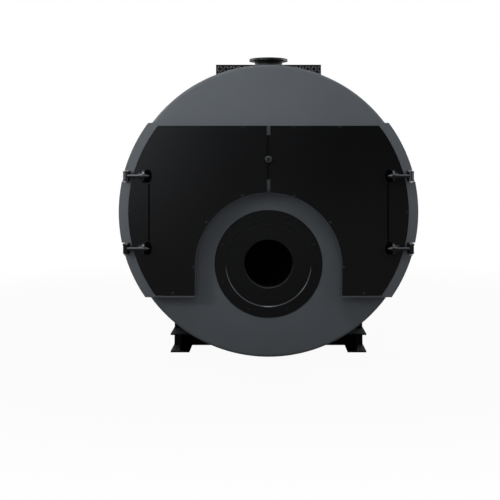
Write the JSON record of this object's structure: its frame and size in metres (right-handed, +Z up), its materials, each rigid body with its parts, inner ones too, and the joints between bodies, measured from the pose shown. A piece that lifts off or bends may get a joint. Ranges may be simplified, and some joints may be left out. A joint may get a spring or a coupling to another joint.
{
  "type": "fire-tube hot-water boiler",
  "caption": "Large lying round boiler on two beams, with a burner plate low in its flat front, hinged half-round front doors, a rear flue outlet and a walkway on top.",
  "frame": {"origin": "on the floor, in the middle of the bounding box", "axes": "+Z up, front faces -Y, +X to the right seen from the front"},
  "size_m": [3.2, 6.98, 3.49],
  "materials": {
    "casing_grey": "satin grey powder coat",
    "black_panel": "half-gloss black coated sheet",
    "black_plate": "black heat-proof coat",
    "hinge_black": "gloss black",
    "frame_black": "black machine paint",
    "pipe_black": "black heat-proof coat",
    "tread_plate": "coated tread plate",
    "chamber_steel": "bare plate with a film of soot",
    "refractory": "cast refractory",
    "fibre_lining": "ceramic fibre board",
    "pin_steel": "bright steel"
  },
  "bodies": {
    "root": {"front_head": "casing_grey", "burner_plate": "black_plate", "burner_throat": "refractory", "centre_post": "casing_grey", "door_knob": "hinge_black", "chamber_crown": "chamber_steel", "chamber_sill": "chamber_steel", "chamber_side_left": "chamber_steel", "chamber_side_right": "chamber_steel", "chamber_divider": "chamber_steel", "tube_sheet": "chamber_steel", "furnace_tube": "chamber_steel", "vessel_front_course": "chamber_steel", "vessel_rear_course": "chamber_steel", "rear_head": "casing_grey", "flue_collector": "casing_grey", "collector_covers": "black_plate", "flue_outlet": "pipe_black", "furnace_end_cover": "black_plate", "drain_nozzle": "pipe_black", "flow_nozzle": "pipe_black", "return_nozzle": "pipe_black", "safety_nozzle": "pipe_black", "manhole_neck": "pipe_black", "manhole_cover": "pipe_black", "lifting_lugs": "pipe_black", "walkway_front_panel": "tread_plate", "walkway_rear_panel": "tread_plate", "walkway_deck_front": "tread_plate", "walkway_deck_rear": "tread_plate", "walkway_skirts": "tread_plate", "base_beam_left": "frame_black", "base_beam_right": "frame_black", "cross_members": "frame_black", "saddles": "frame_black", "hinge_brackets": "hinge_black", "hinge_pins": "pin_steel", "casing_course_1": "casing_grey", "casing_course_2": "casing_grey", "casing_course_3": "casing_grey", "casing_course_4": "casing_grey"},
    "left_door": {"left_door_shell": "casing_grey", "left_door_lining": "fibre_lining", "left_door_panel": "black_panel", "left_door_strip": "black_panel", "left_door_arms": "hinge_black"},
    "right_door": {"right_door_shell": "casing_grey", "right_door_lining": "fibre_lining", "right_door_panel": "black_panel", "right_door_strip": "black_panel", "right_door_arms": "hinge_black"}
  },
  "joints": [
    {"name": "left_door_hinge", "type": "hinge", "parent": "root", "child": "left_door", "pos_m": [-1.508, -3.42, 1.7], "axis": [0, 0, -1], "range_deg": [0, 105]},
    {"name": "right_door_hinge", "type": "hinge", "parent": "root", "child": "right_door", "pos_m": [1.508, -3.42, 1.7], "axis": [0, 0, 1], "range_deg": [0, 105]}
  ]
}
